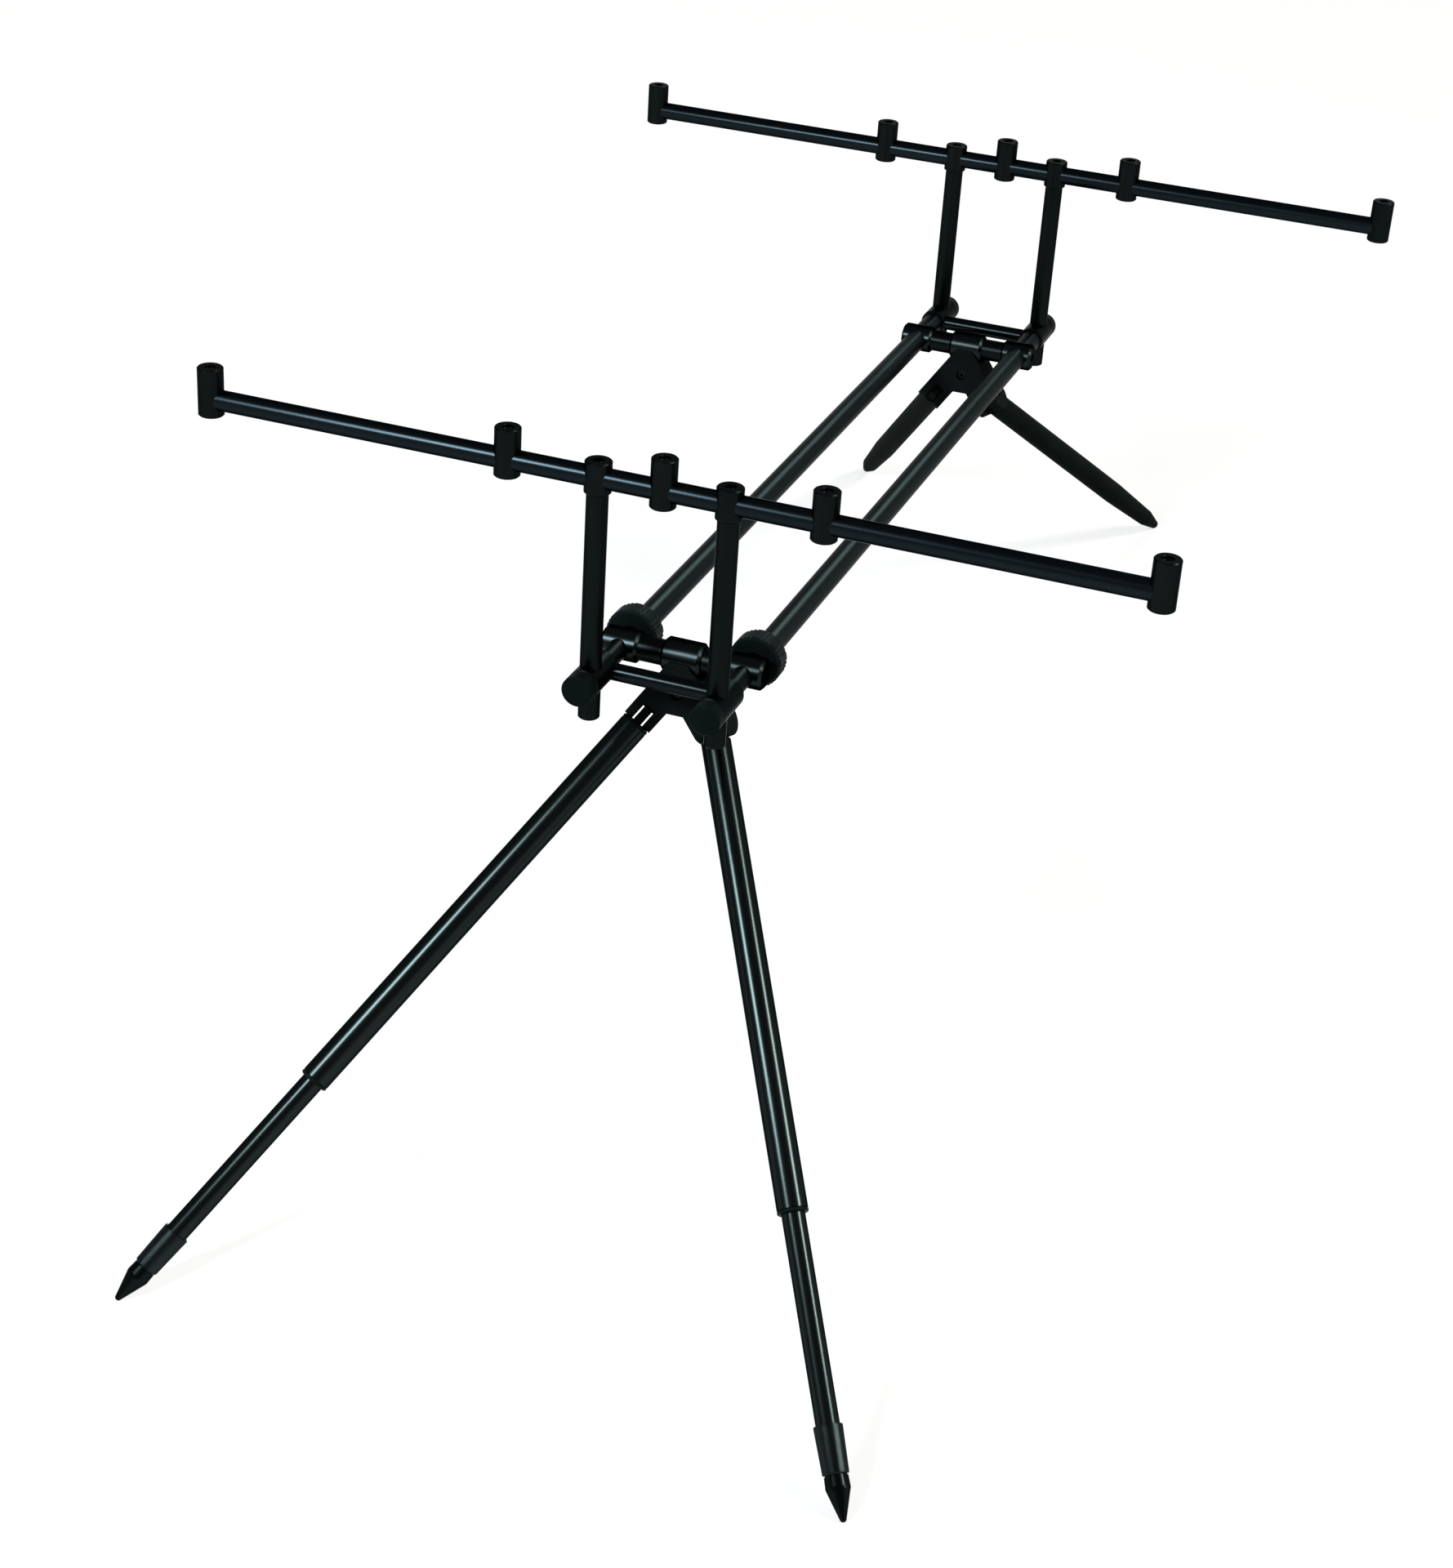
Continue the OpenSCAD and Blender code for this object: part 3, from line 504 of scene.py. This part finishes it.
def handling_marks():
    """Broad soft patches, as hands leave them."""
    group, start, end = effect_group("handling_marks", "Mask")
    noise = drawn_noise(group, start, MARK_FACTORS, MARK_DETAIL)
    spread = group.nodes.new("ShaderNodeMapRange")
    spread.interpolation_type = "SMOOTHSTEP"
    spread.inputs["From Min"].default_value = MARK_LOW
    spread.inputs["From Max"].default_value = MARK_HIGH
    group.links.new(noise, spread.inputs["Value"])
    group.links.new(spread.outputs["Result"], end.inputs["Mask"])
    return group


def make_effects():
    """Drawn lines run along z, turned rings run round z, grain is even, and marks are broad and soft."""
    groups = {}
    for name, pattern in PATTERNS.items():
        group, start, end = effect_group(name, "Height")
        group.links.new(drawn_noise(group, start, **pattern), end.inputs["Height"])
        groups[name] = group
    groups["handling_marks"] = handling_marks()
    return groups


EFFECTS = make_effects()


def shade(colour, share):
    return tuple(share * level for level in colour)


class Finish:
    """A material on Principled, with its pattern turned so that z runs along the piece."""

    def __init__(self, name, axis=Vector((0, 0, 1)), origin=Vector((0, 0, 0))):
        self.material = bpy.data.materials.new(name)
        self.material.use_nodes = True
        self.tree = self.material.node_tree
        self.shader = self.tree.nodes["Principled BSDF"]
        place = self.tree.nodes.new("ShaderNodeTexCoord")
        self.mapping = self.tree.nodes.new("ShaderNodeMapping")
        self.mapping.vector_type = "TEXTURE"
        self.mapping.inputs["Location"].default_value = origin
        self.mapping.inputs["Rotation"].default_value = axis.to_track_quat("Z", "Y").to_euler()
        self.link(place.outputs["Object"], self.mapping.inputs["Vector"])

    def link(self, start, end):
        self.tree.links.new(start, end)

    def set(self, **values):
        """Values that are the same all over, by socket name with _ for a space."""
        for label, value in values.items():
            self.shader.inputs[label.replace("_", " ")].default_value = value

    def effect(self, name, scale):
        """The output of a shared effect, at that many cells per metre."""
        node = self.tree.nodes.new("ShaderNodeGroup")
        node.node_tree = EFFECTS[name]
        node.inputs["Scale"].default_value = scale
        self.link(self.mapping.outputs["Vector"], node.inputs["Vector"])
        return node.outputs[0]

    def within(self, radius):
        """A mask of what lies closer than the radius to the pattern's z axis."""
        flat = self.tree.nodes.new("ShaderNodeVectorMath")
        flat.operation = "MULTIPLY"
        flat.inputs[1].default_value = (1, 1, 0)
        self.link(self.mapping.outputs["Vector"], flat.inputs[0])
        size = self.tree.nodes.new("ShaderNodeVectorMath")
        size.operation = "LENGTH"
        self.link(flat.outputs["Vector"], size.inputs[0])
        inside = self.tree.nodes.new("ShaderNodeMath")
        inside.operation = "LESS_THAN"
        inside.inputs[1].default_value = radius
        self.link(size.outputs["Value"], inside.inputs[0])
        return inside.outputs["Value"]

    def mixed(self, mask, dark, light):
        """A mix by the mask of two colours, each a tuple or another node's output."""
        node = self.tree.nodes.new("ShaderNodeMix")
        node.data_type = "RGBA"
        self.link(mask, node.inputs["Factor"])
        for socket, colour in ((MIX_FIRST, dark), (MIX_SECOND, light)):
            if isinstance(colour, tuple):
                node.inputs[socket].default_value = (*colour, 1)
            else:
                self.link(colour, node.inputs[socket])
        return node.outputs[MIX_RESULT]

    def tint(self, mask, dark, light):
        self.link(self.mixed(mask, dark, light), self.shader.inputs["Base Color"])

    def rough(self, mask, low, high):
        node = self.tree.nodes.new("ShaderNodeMapRange")
        node.inputs["To Min"].default_value = low
        node.inputs["To Max"].default_value = high
        self.link(mask, node.inputs["Value"])
        self.link(node.outputs["Result"], self.shader.inputs["Roughness"])

    def handled(self, colour, roughness, cells, colour_share, roughness_step):
        """Colour and roughness that go a little up and down with the handling marks."""
        marks = self.effect("handling_marks", cells)
        self.tint(marks, shade(colour, 1 - colour_share), shade(colour, 1 + colour_share))
        self.rough(marks, roughness - roughness_step, roughness + roughness_step)

    def relief(self, height, depth):
        node = self.tree.nodes.new("ShaderNodeBump")
        node.inputs["Distance"].default_value = depth
        self.link(height, node.inputs["Height"])
        self.link(node.outputs["Normal"], self.shader.inputs["Normal"])


# Finishes
def anodised_tube(name, axis, colour, roughness, rim=EVEN_RIM):
    """Drawn tube, satin black, with faint lines along it and softer patches where it is handled."""
    finish = Finish(name, axis)
    finish.set(Metallic=1.0, Specular_Tint=grey(rim))
    finish.handled(colour, roughness, **TUBE_MARKS)
    finish.relief(finish.effect("drawn_lines", DRAWN_CELLS), DRAWN_DEPTH)
    return finish.material


def turned_metal(name, axis, colour, roughness, rings=RING_CELLS, rim=EVEN_RIM):
    """Turned bar stock, black, with fine turning rings."""
    finish = Finish(name, axis)
    finish.set(Metallic=1.0, Specular_Tint=grey(rim))
    finish.handled(colour, roughness, **TURNED_MARKS)
    finish.relief(finish.effect("turned_rings", rings), RING_DEPTH)
    return finish.material


def matt_coat(name, colour, sheen, roughness, grain, depth):
    """Coated or moulded matt black with an even grain."""
    finish = Finish(name)
    finish.set(Specular_IOR_Level=sheen, Specular_Tint=COOL_SHEEN)
    finish.handled(colour, roughness, **COAT_MARKS)
    finish.relief(finish.effect("even_grain", grain), depth)
    return finish.material


def bracket_coat(end):
    """Matt coated plates under a barrel that is bare satin metal."""
    low, high = (Vector(corner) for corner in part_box(f"{end}_axle_shaft"))
    finish = Finish(f"{end}_bracket_coat", ACROSS, (low + high) / 2)
    finish.set(Specular_IOR_Level=PLATE_SHEEN, Specular_Tint=BARREL_RIM)
    marks = finish.effect("handling_marks", COAT_MARKS["cells"])
    barrel = finish.within(BARREL_REACH)
    finish.tint(barrel, finish.mixed(marks, PLATE_DARK, PLATE_LIGHT), BARREL_BLACK)
    finish.rough(barrel, PLATE_ROUGHNESS, BARREL_ROUGHNESS)
    finish.link(barrel, finish.shader.inputs["Metallic"])
    finish.relief(finish.effect("even_grain", PLATE_GRAIN), PLATE_GRAIN_DEPTH)
    return finish.material


def screw_steel():
    """Black oxide steel with a fine grain."""
    finish = Finish("screw_steel")
    finish.set(Metallic=1.0, Specular_Tint=grey(SCREW_RIM))
    marks = finish.effect("handling_marks", SCREW_MARK_CELLS)
    finish.tint(marks, SCREW_DARK, SCREW_LIGHT)
    finish.rough(marks, SCREW_SMOOTH, SCREW_ROUGH)
    finish.relief(finish.effect("even_grain", SCREW_GRAIN), SCREW_GRAIN_DEPTH)
    return finish.material


# Dressing the pod
def dress(material, *names):
    for name in names:
        for place in nodes[name].material_slots:
            place.material = material


def dress_ends(steel):
    """Bars, uprights, heads, axles and brackets, at the front and at the rear."""
    bar = anodised_tube("bar_anodised", ACROSS, BAR_BLACK, roughness=0.25, rim=DARK_RIM)
    crossbar = anodised_tube("crossbar_anodised", ACROSS, CROSSBAR_BLACK, roughness=0.22)
    upright = turned_metal(
        "upright_anodised", POD_UP, UPRIGHT_BLACK, roughness=0.36, rings=UPRIGHT_RING_CELLS
    )
    socket = turned_metal("socket_anodised", POD_UP, SOCKET_BLACK, roughness=0.34, rings=UPRIGHT_RING_CELLS)
    boss = turned_metal("boss_turned", ACROSS, BOSS_BLACK, roughness=0.25, rim=BOSS_RIM)
    shaft = turned_metal("shaft_turned", ACROSS, SHAFT_BLACK, roughness=0.32)
    head = turned_metal("head_turned", RAIL_WAY, HEAD_BLACK, roughness=0.36)
    knob = matt_coat("knob_coat", KNOB_BLACK, sheen=0.01, roughness=0.50, **MOULDED_GRAIN)
    for end in ENDS:
        dress(bar, f"{end}_bar_tube")
        dress(crossbar, f"{end}_crossbar")
        dress(socket, f"{end}_bar_sockets", f"{end}_upright_caps")
        dress(shaft, f"{end}_axle_shaft")
        dress(boss, f"{end}_axle_bosses")
        dress(bracket_coat(end), f"{end}_bracket")
        dress(steel, f"{end}_axle_screws", f"{end}_bracket_screw", f"{end}_pivot_pins", f"{end}_cap_screws")
        socket_threads(end).data.materials.append(socket)
        for side in SIDES:
            dress(upright, f"{end}_upright_{side}")
            dress(head, f"{end}_head_{side}")
            dress(knob, f"{end}_knob_{side}")


def dress_rails(nylon, moulding):
    """Rails with their locknuts, collars and collets."""
    rail = anodised_tube("rail_anodised", RAIL_WAY, RAIL_BLACK, roughness=0.37)
    inner = anodised_tube("inner_rail_anodised", RAIL_WAY, INNER_RAIL_BLACK, roughness=0.34)
    for side in SIDES:
        dress(rail, f"rail_tube_{side}")
        dress(inner, f"inner_rail_{side}")
        dress(moulding, f"locknut_{side}")
    dress(moulding, "rail_collars")
    dress(nylon, "rail_collets")


def dress_legs(nylon, moulding):
    """Front legs with their feet, and rear legs."""
    rear_leg = matt_coat("matt_leg", REAR_LEG_BLACK, sheen=0.006, roughness=0.60, **REAR_LEG_GRAIN)
    for side in SIDES:
        way = FRONT_LEG_WAY[side]
        tube = anodised_tube(f"leg_anodised_{side}", way, FRONT_LEG_BLACK, roughness=0.22, rim=DARK_RIM)
        foot = turned_metal(f"foot_turned_{side}", way, FOOT_BLACK, roughness=0.28)
        sleeve = turned_metal(f"sleeve_knurled_{side}", way, SLEEVE_BLACK, roughness=0.26)
        dress(tube, f"front_leg_tube_{side}", f"front_leg_inner_{side}")
        dress(foot, f"front_leg_hinge_{side}", f"front_spike_{side}")
        dress(sleeve, f"front_foot_sleeve_{side}")
        dress(moulding, f"front_leg_bush_{side}")
        dress(nylon, f"front_leg_expander_{side}")
        dress(rear_leg, f"rear_leg_{side}")
        foot_sleeve(side).data.materials.append(sleeve)


def dress_pod():
    """A finish on every piece, and then the smooth copies, which take their piece's finish."""
    moulding = matt_coat("moulded_black", MOULDED_BLACK, sheen=0.022, roughness=0.42, **MOULDED_GRAIN)
    nylon = matt_coat("nylon", NYLON_BLACK, sheen=0.30, roughness=0.45, **NYLON_GRAIN)
    dress_ends(screw_steel())
    dress_rails(nylon, moulding)
    dress_legs(nylon, moulding)
    for slot, names in SMOOTH_PIECES.items():
        for name in names:
            smooth_copy(name)


add_camera()
add_softbox()
for lamp_name, lamp_values in FAR_LAMPS.items():
    add_far_lamp(lamp_name, **lamp_values)
add_walls()
add_floor()
dress_pod()
bpy.context.scene.view_settings.view_transform = "Standard"
